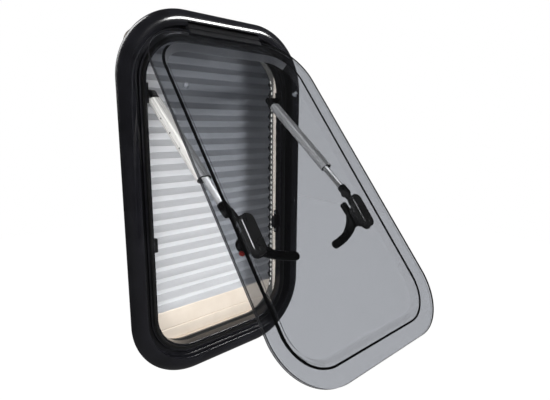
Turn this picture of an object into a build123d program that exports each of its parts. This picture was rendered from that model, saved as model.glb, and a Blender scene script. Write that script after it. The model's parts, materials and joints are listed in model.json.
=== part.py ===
"""Top-hung caravan window with a double acrylic pane, telescopic stays and a pleated blind.

Millimetres. +Z is up, the outside of the vehicle is towards -Y, and the wall's outer face is Y = 0.
The origin is on the flat back of the flange, in the middle of the bottom rail.
"""
import math
import os

from build123d import *

# Frame outline
frame_width = 340
frame_height = 565
frame_corner_radius = 105
wall_thickness = 30

# Frame section, each width measured inwards from the outer edge
flange_edge = 2.5
flange_width = 23.5
flange_proud = 9.6
flange_crown_radius = 21
flange_seat = 22
spigot_wall = 3
groove_width = 8
groove_depth = 2
lip_width = 11.5
lip_proud = 1
web_thickness = 3
reveal_wall = 2.5
reveal_depth = 14

# Perimeter seal
seal_width = 5
seal_height = 3.4
seal_side_angle = 68

# Sash and hinge
opening_angle = 38.75
hinge_inset = 24.5
hinge_proud = 8
hinge_length = 130
hinge_rail_radius = 5.2
hinge_bead_radius = 2.8
hinge_clearance = 0.1
hinge_mouth_margin = 30
hinge_seat_below = 15.6
leaf_web = 2.4
leaf_clip_wall = 1
leaf_clip_grip = 6

# Double pane
pane_side_inset = 25
pane_foot_inset = 30.3
pane_corner_radius = 72
pane_gap_to_hinge = 8.2
pane_face_offset = 2.2
outer_sheet = 3
inner_sheet = 2.5
pan_inset = 22
pan_depth = 9.8
pan_draft = 30
pan_edge_rounding = 2

# Air plugs of the inner sheet
plug_from_jamb = 26.5
plug_from_hinge = 103
plug_head_radius = 4.5
plug_head_height = 2
plug_stem_radius = 2.5
plug_stem_length = 5

# Latches
latch_from_jamb = 25.5
latch_from_hinge = 329
latch_foot_width = 19
latch_foot_length = 57
latch_foot_depth = 9
latch_collar_rim = 3.5
latch_collar_height = 2.5
latch_body_height = 8
latch_clearance = 0.2
latch_pin_radius = 4
latch_edge = 1.5

# Lever of a latch, drawn about its pivot
lever_from_hinge = 331
lever_gap = 1.5
lever_thickness = 8
lever_hub_radius = 12.5
lever_hub_height = 10.5
lever_tongue_reach = 27
lever_tongue_width = 12
lever_handle_reach = 62.5
lever_handle_drop = 29.5
lever_handle_width = 12.5
lever_handle_bow = 4.7
lever_throat_height = 15
lever_throat_radius = 68
lever_web = 6
lever_draft = 7
lever_edge = 1.5
lever_pin_clearance = 0.05
button_radius = 3.5
button_proud = 2.5
button_recess = 4
button_angle = 45
button_height = 5.2
button_clearance = 0.1
button_edge = 1

# Telescopic stays
stay_from_jamb = 16
stay_top_depth = 16
stay_top_drop = 95
stay_foot_from_hinge = 289
stay_foot_offset = 27
tube_radius = 6.7
tube_wall = 1
tube_start = 10
tube_reach = 170
tube_flat_depth = 0.7
notch_radius = 1.9
notch_count = 3
notch_pitch = 32
notch_start = 52
ferrule_radius = 7.4
ferrule_length = 9
rod_radius = 4.7
rod_clearance = 0.1
rod_overlap = 60
fork_radius = 6.6
fork_reach = 14
eye_thickness = 6
eye_radius = 6
stay_pin_radius = 2.5
stay_pin_clearance = 0.1
stay_pin_head_radius = 4
stay_pin_head = 1.5
stay_ear = 6
bracket_wall = 3
bracket_height = 28
bracket_width = 13
bracket_setback = 0.5
bracket_boss_radius = 6
side_gap = 0.3

# Keepers on the jambs
keeper_from_hinge = 321
keeper_plate_height = 44
keeper_plate_width = 9
keeper_plate = 2.5
keeper_block_height = 22
keeper_block_reach = 9
keeper_front = 5
keeper_edge = 1.5

# Inner clamp frame
clamp_thickness = 3.5
clamp_outer_inset = 13
clamp_inner_inset = 38.5

# Blind case behind the clamp frame
case_side_inset = 33
case_end_inset = 24.5
case_corner_radius = 22
case_depth = 18.5
case_lip = 2.5
case_wall = 2.5
case_back_lip = 8
case_cap = 14
case_leg = 14
case_back_rounding = 4

# Pleated blind and its two pull bars
blind_side_gap = 1.5
pleat_pitch = 20
pleat_depth = 9
pleat_sheet = 1.2
blind_setback = 4.5
blind_bar_height = 32.5
screen_bar_height = 21.5
bar_thickness = 9
bar_rounding = 2
bar_grip_radius = 2.2

# Places that follow from the driving sizes
bottom = -flange_seat / 2
top = bottom + frame_height
middle = (top + bottom) / 2
opening_inset = flange_width + groove_width + lip_width
opening_half_width = frame_width / 2 - opening_inset
tilt = math.radians(opening_angle)
hinge_height = top - hinge_inset
inward_normal = Vector(0, math.cos(tilt), -math.sin(tilt))
hinge_axis = Vector(0, -hinge_proud, hinge_height)
sash = Plane(hinge_axis - inward_normal * pane_face_offset, x_dir=(1, 0, 0), z_dir=inward_normal)
inward_axis = Axis(sash.origin, sash.z_dir)
rim_thickness = outer_sheet + inner_sheet
pane_width = frame_width - 2 * pane_side_inset
pane_length = frame_height - hinge_inset - pane_gap_to_hinge - pane_foot_inset
plug_side = opening_half_width - plug_from_jamb
latch_side = opening_half_width - latch_from_jamb
stay_side = opening_half_width - stay_from_jamb
pane_middle = pane_gap_to_hinge + pane_length / 2
pan_inner_face = rim_thickness + pan_depth
section = Plane((0, 0, bottom), x_dir=(0, 0, 1), z_dir=(1, 0, 0))
latch_top = pan_inner_face + latch_collar_height + latch_body_height
case_front = wall_thickness + clamp_thickness
case_back = case_front + case_depth
case_width = frame_width - 2 * case_side_inset
case_height = frame_height - 2 * case_end_inset
case_opening = case_height / 2 - case_cap
blind_width = case_width - 2 * (case_wall + blind_side_gap)
sides = {"left": -1, "right": 1}

os.makedirs("parts", exist_ok=True)


def save(solid, name):
    """Label one finished piece and write it to its own file."""
    solid.label = name
    export_step(solid, f"parts/{name}.step")


# Line that every ring of the frame follows, from the middle of the bottom rail
half_width = frame_width / 2
straight_x = half_width - frame_corner_radius
with BuildLine(Plane.XZ) as frame_edge:
    sill = Line((0, bottom), (straight_x, bottom))
    low_right = JernArc(sill @ 1, (1, 0), frame_corner_radius, 90)
    right_side = Line(low_right @ 1, (half_width, top - frame_corner_radius))
    high_right = JernArc(right_side @ 1, (0, 1), frame_corner_radius, 90)
    head = Line(high_right @ 1, (-straight_x, top))
    high_left = JernArc(head @ 1, (-1, 0), frame_corner_radius, 90)
    left_side = Line(high_left @ 1, (-half_width, bottom + frame_corner_radius))
    low_left = JernArc(left_side @ 1, (0, -1), frame_corner_radius, 90)
    Line(low_left @ 1, (0, bottom))

# Outer frame: crowned flange, seal groove, inner lip, reveal and spigot in one moulding
lip_start = flange_width + groove_width
seat_head = hinge_height + hinge_rail_radius + side_gap
seat_foot = hinge_height - hinge_seat_below
with BuildPart() as outer_frame:
    with BuildSketch(section) as frame_section:
        with BuildLine():
            edge = Line((0, 0), (0, flange_edge))
            crown = RadiusArc(edge @ 1, (flange_width, flange_proud), flange_crown_radius)
            Polyline(
                crown @ 1,
                (flange_width, -groove_depth),
                (lip_start, -groove_depth),
                (lip_start, lip_proud),
                (opening_inset, lip_proud),
                (opening_inset, -reveal_depth),
                (opening_inset - reveal_wall, -reveal_depth),
                (opening_inset - reveal_wall, -groove_depth - web_thickness),
                (flange_seat + spigot_wall, -groove_depth - web_thickness),
                (flange_seat + spigot_wall, -wall_thickness),
                (flange_seat, -wall_thickness),
                (flange_seat, 0),
                (0, 0),
            )
        make_face()
    sweep(path=frame_edge.wire())
    with BuildSketch(Plane.XZ.offset(hinge_proud - hinge_rail_radius)):
        with Locations((0, (seat_head + seat_foot) / 2)):
            Rectangle(hinge_length + 2 * side_gap, seat_head - seat_foot)
    extrude(amount=flange_proud + hinge_rail_radius, mode=Mode.SUBTRACT)
save(outer_frame.part, "outer_frame")

# Perimeter seal: a tapered bead along the middle of the lip
with BuildPart() as frame_seal:
    with BuildSketch(section):
        with Locations((lip_start + lip_width / 2, lip_proud + seal_height / 2)):
            Trapezoid(seal_width, seal_height, seal_side_angle)
    sweep(path=frame_edge.wire())
save(frame_seal.part, "frame_seal")

# Hinge rail: a C-shaped channel that holds the bead of the sash
hinge_end = Plane((-hinge_length / 2, -hinge_proud, hinge_height), x_dir=(0, 1, 0), z_dir=(1, 0, 0))
mouth_reach = 2 * hinge_rail_radius
mouth_open = math.radians(opening_angle + hinge_mouth_margin)
mouth_shut = math.radians(hinge_mouth_margin)
with BuildPart() as hinge_rail:
    with BuildSketch(hinge_end):
        Circle(hinge_rail_radius)
        with Locations((hinge_rail_radius / 2, 0)):
            Rectangle(hinge_rail_radius, 2 * hinge_rail_radius)
        Circle(hinge_bead_radius + hinge_clearance, mode=Mode.SUBTRACT)
        with BuildLine():
            Polyline(
                (0, 0),
                (mouth_reach * math.sin(mouth_shut), -mouth_reach * math.cos(mouth_shut)),
                (-mouth_reach * math.sin(mouth_open), -mouth_reach * math.cos(mouth_open)),
                (0, 0),
            )
        make_face(mode=Mode.SUBTRACT)
    extrude(amount=hinge_length)
save(hinge_rail.part, "hinge_rail")

# Hinge leaf: bead, web and the clip that grips the top edge of the pane
leaf_length = hinge_length - 2 * side_gap
leaf_origin = sash.from_local_coords((-leaf_length / 2, 0, pane_face_offset))
leaf_end = Plane(leaf_origin, x_dir=sash.y_dir, z_dir=(1, 0, 0))
clip_middle = rim_thickness / 2 - pane_face_offset
clip_start = pane_gap_to_hinge - leaf_clip_wall
with BuildPart() as hinge_leaf:
    with BuildSketch(leaf_end):
        Circle(hinge_bead_radius)
        with Locations((clip_start / 2, 0)):
            Rectangle(clip_start, leaf_web)
        with Locations((clip_start + (leaf_clip_wall + leaf_clip_grip) / 2, clip_middle)):
            Rectangle(leaf_clip_wall + leaf_clip_grip, rim_thickness + 2 * leaf_clip_wall)
        with Locations((pane_gap_to_hinge + leaf_clip_grip, clip_middle)):
            Rectangle(2 * leaf_clip_grip, rim_thickness, mode=Mode.SUBTRACT)
    extrude(amount=leaf_length)
save(hinge_leaf.part, "hinge_leaf")

# Outer sheet of the double pane
with BuildPart() as outer_pane:
    with BuildSketch(sash):
        with Locations((0, pane_middle)):
            RectangleRounded(pane_width, pane_length, pane_corner_radius)
    extrude(amount=outer_sheet)
save(outer_pane.part, "outer_pane")

# Inner sheet: a rim bonded to the outer sheet and a drafted pan that holds the air space
pan_width = pane_width - 2 * pan_inset
pan_length = pane_length - 2 * pan_inset
pan_corner = pane_corner_radius - pan_inset
cavity_width = pan_width - 2 * inner_sheet
cavity_length = pan_length - 2 * inner_sheet
foot_hole_width = latch_foot_width + 2 * latch_clearance
foot_hole_length = latch_foot_length + 2 * latch_clearance
with BuildPart() as inner_pane:
    with BuildSketch(sash.offset(outer_sheet)):
        with Locations((0, pane_middle)):
            RectangleRounded(pane_width, pane_length, pane_corner_radius)
    extrude(amount=inner_sheet)
    with BuildSketch(sash.offset(rim_thickness)):
        with Locations((0, pane_middle)):
            RectangleRounded(pan_width, pan_length, pan_corner)
    extrude(amount=pan_depth, taper=pan_draft)
    fillet(inner_pane.faces().sort_by(inward_axis)[-1].edges(), pan_edge_rounding)
    with BuildSketch(sash.offset(outer_sheet)):
        with Locations((0, pane_middle)):
            RectangleRounded(cavity_width, cavity_length, pan_corner - inner_sheet)
    extrude(amount=pan_depth, taper=pan_draft, mode=Mode.SUBTRACT)
    with BuildSketch(sash.offset(outer_sheet)):
        with Locations(*[(side * plug_side, plug_from_hinge) for side in sides.values()]):
            Circle(plug_stem_radius + side_gap)
        with Locations(*[(side * latch_side, latch_from_hinge) for side in sides.values()]):
            SlotOverall(foot_hole_length, foot_hole_width, rotation=90)
    extrude(amount=2 * pan_depth, mode=Mode.SUBTRACT)
save(inner_pane.part, "inner_pane")

# Air plugs: a stem through the inner sheet under a low head
for name, side in sides.items():
    place = (side * plug_side, plug_from_hinge)
    with BuildPart() as vent_plug:
        with BuildSketch(sash.offset(pan_inner_face - plug_stem_length)):
            with Locations(place):
                Circle(plug_stem_radius)
        extrude(amount=plug_stem_length)
        with BuildSketch(sash.offset(pan_inner_face)):
            with Locations(place):
                Circle(plug_head_radius)
        extrude(amount=plug_head_height)
    save(vent_plug.part, f"{name}_vent_plug")

# Latch bases: a foot in the inner sheet, a collar on it, the lever's pin and the ear of the stay
ear_outer = stay_side - eye_thickness / 2 - side_gap
pin_tip = stay_side + eye_thickness / 2 + side_gap
latch_head = latch_from_hinge - latch_foot_length / 2
for name, side in sides.items():
    place = (side * latch_side, latch_from_hinge)
    ear_origin = sash.from_local_coords((side * ear_outer, 0, 0))
    ear_plane = Plane(ear_origin, x_dir=sash.y_dir, z_dir=(-side, 0, 0))
    with BuildPart() as latch_base:
        with BuildSketch(sash.offset(pan_inner_face - latch_foot_depth)):
            with Locations(place):
                SlotOverall(latch_foot_length, latch_foot_width, rotation=90)
        extrude(amount=latch_foot_depth + latch_collar_height + latch_body_height)
        chamfer(latch_base.faces().sort_by(inward_axis)[-1].edges(), latch_edge)
        with BuildSketch(sash.offset(pan_inner_face)):
            with Locations(place):
                SlotOverall(
                    latch_foot_length + 2 * latch_collar_rim,
                    latch_foot_width + 2 * latch_collar_rim,
                    rotation=90,
                )
        extrude(amount=latch_collar_height)
        with BuildSketch(ear_plane):
            with Locations((stay_foot_from_hinge, -side * stay_foot_offset)):
                Circle(eye_radius)
            with BuildLine():
                Polyline(
                    (stay_foot_from_hinge, -side * (stay_foot_offset - eye_radius)),
                    (latch_head + latch_foot_width / 2, -side * (pan_inner_face + latch_collar_height / 2)),
                    (latch_head + latch_foot_width / 2, -side * (latch_top - latch_edge)),
                    (latch_head, -side * (latch_top - latch_edge)),
                    (stay_foot_from_hinge, -side * (stay_foot_offset + eye_radius)),
                    close=True,
                )
            make_face()
        extrude(amount=stay_ear)
        with BuildSketch(ear_plane):
            with Locations((stay_foot_from_hinge, -side * stay_foot_offset)):
                Circle(stay_pin_radius)
        extrude(amount=ear_outer - pin_tip - stay_pin_head)
        with BuildSketch(ear_plane.offset(ear_outer - pin_tip)):
            with Locations((stay_foot_from_hinge, -side * stay_foot_offset)):
                Circle(stay_pin_head_radius)
        extrude(amount=-stay_pin_head)
        with BuildSketch(sash.offset(latch_top)):
            with Locations((place[0], lever_from_hinge)):
                Circle(latch_pin_radius)
        extrude(amount=lever_gap + lever_thickness)
    save(latch_base.part, f"{name}_latch_base")

# Levers: tongue, hub and bowed handle in one outline, with a side button
lever_level = latch_top + lever_gap
tongue_half = lever_tongue_width / 2
tongue_length = lever_tongue_reach - tongue_half
button_turn = math.radians(button_angle)
for name, side in sides.items():
    pivot = sash.from_local_coords((side * latch_side, lever_from_hinge, lever_level))
    lever_plane = Plane(pivot, x_dir=(-side, 0, 0), z_dir=inward_normal)
    grip_end = Vector(lever_handle_reach, -side * lever_handle_drop)
    handle_side = Vector(-lever_handle_drop, -side * lever_handle_reach).normalized()
    bow_middle = grip_end / 2 + handle_side * lever_handle_bow
    throat_start = Vector(tongue_half, side * lever_throat_height)
    throat_end = bow_middle - handle_side * (lever_handle_width / 2)
    outwards = sash.x_dir * (side * math.cos(button_turn)) + sash.y_dir * math.sin(button_turn)
    button_seat = pivot + inward_normal * button_height + outwards * (lever_hub_radius - button_recess)
    button_plane = Plane(button_seat, x_dir=inward_normal, z_dir=outwards)
    with BuildPart() as lever:
        with BuildSketch(lever_plane):
            with BuildLine(mode=Mode.PRIVATE) as bow:
                ThreePointArc((0, 0), bow_middle, grip_end)
            SlotArc(bow.edge(), lever_handle_width)
        extrude(amount=lever_thickness, taper=lever_draft)
        with BuildSketch(lever_plane):
            with Locations((0, side * tongue_length / 2)):
                SlotCenterToCenter(tongue_length, lever_tongue_width, rotation=90)
        extrude(amount=lever_thickness, taper=lever_draft)
        with BuildSketch(lever_plane):
            with BuildLine():
                throat = RadiusArc(throat_start, throat_end, side * lever_throat_radius)
                Polyline(throat @ 1, (0, 0), throat @ 0)
            make_face()
        extrude(amount=lever_web)
        with BuildSketch(lever_plane):
            Circle(lever_hub_radius)
        extrude(amount=lever_hub_height)
        chamfer(lever.faces().sort_by(inward_axis)[-1].edges(), lever_edge)
        with BuildSketch(Plane(pivot, x_dir=(1, 0, 0), z_dir=inward_normal)):
            Circle(latch_pin_radius + lever_pin_clearance)
        extrude(amount=lever_thickness + lever_gap, mode=Mode.SUBTRACT)
        with BuildSketch(button_plane):
            Circle(button_radius + button_clearance)
        extrude(amount=2 * button_recess, mode=Mode.SUBTRACT)
    save(lever.part, f"{name}_lever")
    with BuildPart() as button:
        with BuildSketch(button_plane):
            Circle(button_radius)
        extrude(amount=button_recess + button_proud)
        chamfer(button.faces().sort_by(Axis(button_seat, outwards))[-1].edges(), button_edge)
    save(button.part, f"{name}_lever_button")

# Telescopic stays: flattened tube with notches, ferrule, rod and fork, and the bracket on the jamb
for name, side in sides.items():
    stay_top = Vector(side * stay_side, stay_top_depth, hinge_height - stay_top_drop)
    stay_foot = sash.from_local_coords((side * stay_side, stay_foot_from_hinge, stay_foot_offset))
    stay_length = (stay_foot - stay_top).length
    stay_axis = (stay_foot - stay_top).normalized()
    stay = Plane(stay_top, x_dir=(1, 0, 0), z_dir=stay_axis)
    flank = Plane(stay_top + Vector(side * tube_radius, 0, 0), x_dir=stay_axis, z_dir=(-side, 0, 0))
    eye_plane = Plane(stay_top - Vector(eye_thickness / 2, 0, 0), x_dir=stay_axis, z_dir=(1, 0, 0))
    with BuildPart() as stay_tube:
        with BuildSketch(stay.offset(tube_start)):
            Circle(tube_radius)
        extrude(amount=tube_reach - tube_start)
        with BuildSketch(flank):
            with Locations((tube_reach / 2, 0)):
                Rectangle(2 * tube_reach, 2 * tube_radius)
        extrude(amount=tube_flat_depth, mode=Mode.SUBTRACT)
        with BuildSketch(eye_plane):
            Circle(eye_radius)
            with Locations((tube_start / 2, 0)):
                Rectangle(tube_start, 2 * eye_radius)
        extrude(amount=eye_thickness)
        with BuildSketch(eye_plane):
            Circle(stay_pin_radius + stay_pin_clearance)
        extrude(amount=eye_thickness, mode=Mode.SUBTRACT)
        with BuildSketch(stay.offset(2 * tube_start)):
            Circle(tube_radius - tube_wall - tube_flat_depth)
        extrude(amount=tube_reach, mode=Mode.SUBTRACT)
        with BuildSketch(flank):
            with Locations(*[(notch_start + index * notch_pitch, 0) for index in range(notch_count)]):
                Circle(notch_radius)
        extrude(amount=tube_radius, mode=Mode.SUBTRACT)
    save(stay_tube.part, f"{name}_stay_tube")
    with BuildPart() as stay_ferrule:
        with BuildSketch(stay.offset(tube_reach)):
            Circle(ferrule_radius)
            Circle(rod_radius + rod_clearance, mode=Mode.SUBTRACT)
        extrude(amount=ferrule_length)
    save(stay_ferrule.part, f"{name}_stay_ferrule")
    with BuildPart() as stay_rod:
        with BuildSketch(stay.offset(tube_reach - rod_overlap)):
            Circle(rod_radius)
        extrude(amount=stay_length - fork_reach - tube_reach + rod_overlap)
    save(stay_rod.part, f"{name}_stay_rod")
    with BuildPart() as stay_fork:
        with BuildSketch(stay.offset(stay_length - fork_reach)):
            Circle(fork_radius)
        extrude(amount=fork_reach - eye_radius)
        with BuildSketch(eye_plane):
            with Locations((stay_length, 0)):
                Circle(eye_radius)
            with Locations((stay_length - fork_reach / 2, 0)):
                Rectangle(fork_reach, 2 * eye_radius)
        extrude(amount=eye_thickness)
        with BuildSketch(eye_plane):
            with Locations((stay_length, 0)):
                Circle(stay_pin_radius + stay_pin_clearance)
        extrude(amount=eye_thickness, mode=Mode.SUBTRACT)
    save(stay_fork.part, f"{name}_stay_fork")
    jamb = Plane((side * opening_half_width, 0, 0), x_dir=(0, 0, 1), z_dir=(-side, 0, 0))
    pin_place = (stay_top.Z, side * stay_top_depth)
    with BuildPart() as stay_bracket:
        with BuildSketch(jamb):
            with Locations((stay_top.Z, side * (bracket_setback + bracket_width / 2))):
                Rectangle(bracket_height, bracket_width)
            with Locations(pin_place):
                Circle(bracket_boss_radius)
        extrude(amount=bracket_wall)
        with BuildSketch(jamb.offset(bracket_wall)):
            with Locations(pin_place):
                Circle(bracket_boss_radius)
        extrude(amount=opening_half_width - bracket_wall - pin_tip)
        with BuildSketch(jamb.offset(opening_half_width - pin_tip)):
            with Locations(pin_place):
                Circle(stay_pin_radius)
        extrude(amount=pin_tip - ear_outer + stay_pin_head)
        with BuildSketch(jamb.offset(opening_half_width - ear_outer)):
            with Locations(pin_place):
                Circle(stay_pin_head_radius)
        extrude(amount=stay_pin_head)
    save(stay_bracket.part, f"{name}_stay_bracket")
    with BuildPart() as keeper:
        keeper_middle = (hinge_height - keeper_from_hinge, side * (keeper_front + keeper_plate_width / 2))
        with BuildSketch(jamb):
            with Locations(keeper_middle):
                Rectangle(keeper_plate_height, keeper_plate_width)
        extrude(amount=keeper_plate)
        with BuildSketch(jamb):
            with Locations(keeper_middle):
                Rectangle(keeper_block_height, keeper_plate_width)
        extrude(amount=keeper_block_reach)
        chamfer(keeper.faces().sort_by(Axis((0, 0, 0), (-side, 0, 0)))[-1].edges(), keeper_edge)
    save(keeper.part, f"{name}_keeper")

# Clamp frame: the ring screwed up from inside that grips the wall against the flange
with BuildPart() as clamp_frame:
    with BuildSketch(section):
        with Locations((clamp_outer_inset, -wall_thickness)):
            Rectangle(
                clamp_inner_inset - clamp_outer_inset,
                clamp_thickness,
                align=(Align.MIN, Align.MAX),
            )
    sweep(path=frame_edge.wire())
save(clamp_frame.part, "clamp_frame")

# Blind guides: C-shaped channels up both sides
case_side = case_width / 2
guide_lip = frame_width / 2 - clamp_inner_inset
guide_foot = middle - case_opening + case_leg
guide_height = 2 * (case_opening - case_leg)
for name, side in sides.items():
    with BuildPart() as guide:
        with BuildSketch(Plane.XY.offset(guide_foot)):
            with BuildLine():
                Polyline(
                    (side * case_side, case_front),
                    (side * guide_lip, case_front),
                    (side * guide_lip, case_front + case_lip),
                    (side * (case_side - case_wall), case_front + case_lip),
                    (side * (case_side - case_wall), case_back - case_lip),
                    (side * (case_side - case_back_lip), case_back - case_lip),
                    (side * (case_side - case_back_lip), case_back),
                    (side * case_side, case_back),
                    close=True,
                )
            make_face()
        extrude(amount=guide_height)
        back_edges = guide.edges().filter_by(Axis.Z).group_by(Axis.Y)[-1]
        fillet(back_edges.sort_by(Axis((0, 0, 0), (side, 0, 0)))[-1], case_back_rounding)
    save(guide.part, f"{name}_blind_guide")

# Cassettes: the caps of the blind case above and below, with short legs that meet the guides
for name, upwards in {"top": 1, "bottom": -1}.items():
    cap_edge = middle + upwards * (case_opening - case_leg)
    with BuildPart() as cassette:
        with BuildSketch(Plane.XZ.offset(-case_front)):
            with Locations((0, middle)):
                RectangleRounded(case_width, case_height, case_corner_radius)
        extrude(amount=-case_depth)
        fillet(cassette.faces().sort_by(Axis.Y)[-1].edges(), case_back_rounding)
        with BuildSketch(Plane.XZ.offset(-case_front)):
            with Locations((0, cap_edge - upwards * case_height / 2)):
                Rectangle(case_width, case_height)
            with Locations((0, middle + upwards * case_opening / 2)):
                Rectangle(case_width - 2 * case_wall, case_opening)
        extrude(amount=-case_depth, mode=Mode.SUBTRACT)
    save(cassette.part, f"{name}_cassette")

# Pull bars of the insect screen and of the blind, one resting on the other
blind_front = case_front + blind_setback
sill_level = middle - case_opening
bar_level = sill_level + screen_bar_height
blind_level = bar_level + blind_bar_height
for name, level, height in (
    ("screen_bar", sill_level, screen_bar_height),
    ("blind_bar", bar_level, blind_bar_height),
):
    with BuildPart() as bar:
        with BuildSketch(Plane.YZ.offset(-blind_width / 2)):
            with Locations((blind_front + bar_thickness / 2, level + height / 2)):
                RectangleRounded(bar_thickness, height, bar_rounding)
            with Locations((blind_front + bar_thickness, level + height / 2)):
                Circle(bar_grip_radius)
        extrude(amount=blind_width)
    save(bar.part, name)

# Pleated blind: one folded sheet from the bar up to the top cassette
blind_height = middle + case_opening - blind_level
fold_count = 2 * round(blind_height / pleat_pitch)
fold_rise = blind_height / fold_count
fold_reach = pleat_depth - pleat_sheet
folds = [
    (blind_front + (index % 2) * fold_reach, blind_level + index * fold_rise)
    for index in range(fold_count + 1)
]
with BuildPart() as pleated_blind:
    with BuildSketch(Plane.YZ.offset(-blind_width / 2)):
        with BuildLine():
            Polyline(*folds, *[(y + pleat_sheet, z) for y, z in reversed(folds)], close=True)
        make_face()
    extrude(amount=blind_width)
save(pleated_blind.part, "pleated_blind")
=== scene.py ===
# %% [markdown]
# # A top-hung caravan window
# The window is a black moulded frame with a double acrylic pane that hangs from its top rail. Two
# telescopic stays hold the pane open, two latch levers lock it, and a pleated blind closes the opening from
# inside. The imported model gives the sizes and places. This lesson gives each piece its rounded edges and
# its finish.

# %% Load the frame
import json
import math

import bmesh
import bpy
from mathutils import Matrix, Vector


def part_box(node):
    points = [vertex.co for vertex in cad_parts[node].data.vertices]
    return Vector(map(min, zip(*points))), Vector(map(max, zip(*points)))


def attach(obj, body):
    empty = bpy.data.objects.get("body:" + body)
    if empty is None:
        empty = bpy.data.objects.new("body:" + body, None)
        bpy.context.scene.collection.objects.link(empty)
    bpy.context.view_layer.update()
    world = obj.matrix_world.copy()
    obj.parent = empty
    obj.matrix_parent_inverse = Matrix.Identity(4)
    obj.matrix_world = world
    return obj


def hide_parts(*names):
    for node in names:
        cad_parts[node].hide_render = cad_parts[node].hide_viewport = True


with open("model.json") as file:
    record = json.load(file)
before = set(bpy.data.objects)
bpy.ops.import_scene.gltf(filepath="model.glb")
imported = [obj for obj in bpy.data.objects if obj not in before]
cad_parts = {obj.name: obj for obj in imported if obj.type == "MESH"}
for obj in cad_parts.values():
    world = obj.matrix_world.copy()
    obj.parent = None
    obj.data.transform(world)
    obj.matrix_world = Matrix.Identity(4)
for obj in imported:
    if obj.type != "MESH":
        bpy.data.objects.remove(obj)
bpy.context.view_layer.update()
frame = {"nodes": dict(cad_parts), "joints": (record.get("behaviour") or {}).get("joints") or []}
scene = bpy.context.scene
solids = frame["nodes"]

# %% [markdown]
# ## Planes to draw on
# The frame is drawn flat on the wall, and the pane is drawn flat on the tilted sash. A matrix carries a
# drawing's (across, along, height) into the room, so a piece of the sash is written down as if it lay on a
# table.

# %% Wall plane and sash plane
MM = 0.001
CRISP_ANGLE = math.radians(38)
SIDES = {"left": -1, "right": 1}


def plane(origin, across, along, upwards=None):
    """Matrix from a drawing's across, along and height to the room, in metres."""
    across = Vector(across).normalized()
    along = Vector(along).normalized()
    upwards = across.cross(along) if upwards is None else Vector(upwards)
    matrix = Matrix((across, along, upwards)).transposed().to_4x4()
    matrix.translation = Vector(origin)
    return matrix


frame_low, frame_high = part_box("outer_frame")
frame_width = frame_high.x - frame_low.x
frame_height = frame_high.z - frame_low.z
frame_middle = (frame_low.z + frame_high.z) / 2
wall = plane((0, 0, frame_middle), (1, 0, 0), (0, 0, 1))

rail_low, rail_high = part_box("hinge_rail")
hinge_axis = (rail_low + rail_high) / 2
turn_axis = next(joint["axis"] for joint in frame["joints"] if joint["name"].startswith("right"))
inward = Vector(turn_axis).normalized()
downward = inward.cross((1, 0, 0))
pane_face_offset = 2.2 * MM
sash = plane(hinge_axis - inward * pane_face_offset, (1, 0, 0), downward)
print("sash leans", round(math.degrees(math.acos(inward.y)), 2), "degrees")

# %% [markdown]
# ## Outlines and profiles
# Nearly every piece of a window is one profile carried round one outline: a frame section round the
# opening, an edge rounding round a plate, a pin's steps round its axis. Modelling each edge by hand would
# take a bevel and a cleanup a piece. Here an outline is a function of its inset, so each ring of a profile
# is one call.

# %% Outline helpers
def rounded_rectangle(width, height, radius, steps=20):
    """Outline of a rounded rectangle, as a function of the inset."""
    def ring(inset):
        half_across = width / 2 - inset
        half_along = height / 2 - inset
        bend = max(radius - inset, 0.01 * MM)
        points = []
        for corner, (east, north) in enumerate(((1, 1), (-1, 1), (-1, -1), (1, -1))):
            for step in range(steps + 1):
                angle = (corner + step / steps) * math.pi / 2
                x = east * (half_across - bend) + bend * math.cos(angle)
                y = north * (half_along - bend) + bend * math.sin(angle)
                points.append((x, y))
        return points
    return ring


def strip(path, half_width, steps=10):
    """Outline of a band with round ends along a path: one point gives a circle, two a slot."""
    path = [Vector(point) for point in path]
    heading = [(path[min(i + 1, len(path) - 1)] - path[max(i - 1, 0)]) for i in range(len(path))]
    heading = [way.normalized() if way.length else Vector((1, 0)) for way in heading]

    def ring(inset):
        reach = half_width - inset
        points = []
        for way_on, order in ((1, range(len(path))), (-1, reversed(range(len(path))))):
            for index in order:
                side = Vector((heading[index].y, -heading[index].x)) * way_on
                points.append(tuple(path[index] + side * reach))
            end = path[-1] if way_on == 1 else path[0]
            start = math.atan2(side.y, side.x)
            for step in range(1, steps):
                angle = start + math.pi * step / steps
                points.append((end.x + reach * math.cos(angle), end.y + reach * math.sin(angle)))
        return points
    return ring


def arc(start, end, bulge, steps=14):
    """Points from start to end on an arc that stands out to the left of the way by bulge."""
    start, end = Vector(start), Vector(end)
    half = (end - start).length / 2
    radius = (half * half + bulge * bulge) / (2 * bulge)
    left = Vector((start.y - end.y, end.x - start.x)).normalized()
    centre = (start + end) / 2 + left * (bulge - radius)
    spread = math.asin(half / radius)
    ahead = (end - start).normalized()
    turns = [spread * (2 * step / steps - 1) for step in range(steps + 1)]
    return [tuple(centre + ahead * radius * math.sin(t) + left * radius * math.cos(t)) for t in turns]


print("a circle's outline takes", len(strip([(0, 0)], 1)(0)), "points")

# %% [markdown]
# A profile is a row of (inset, height) points. No moulded edge is sharp, so each corner of a profile
# carries its own radius, and a short curve takes its place. A bevel modifier could round a finished mesh,
# but with one width for all edges.

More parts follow.
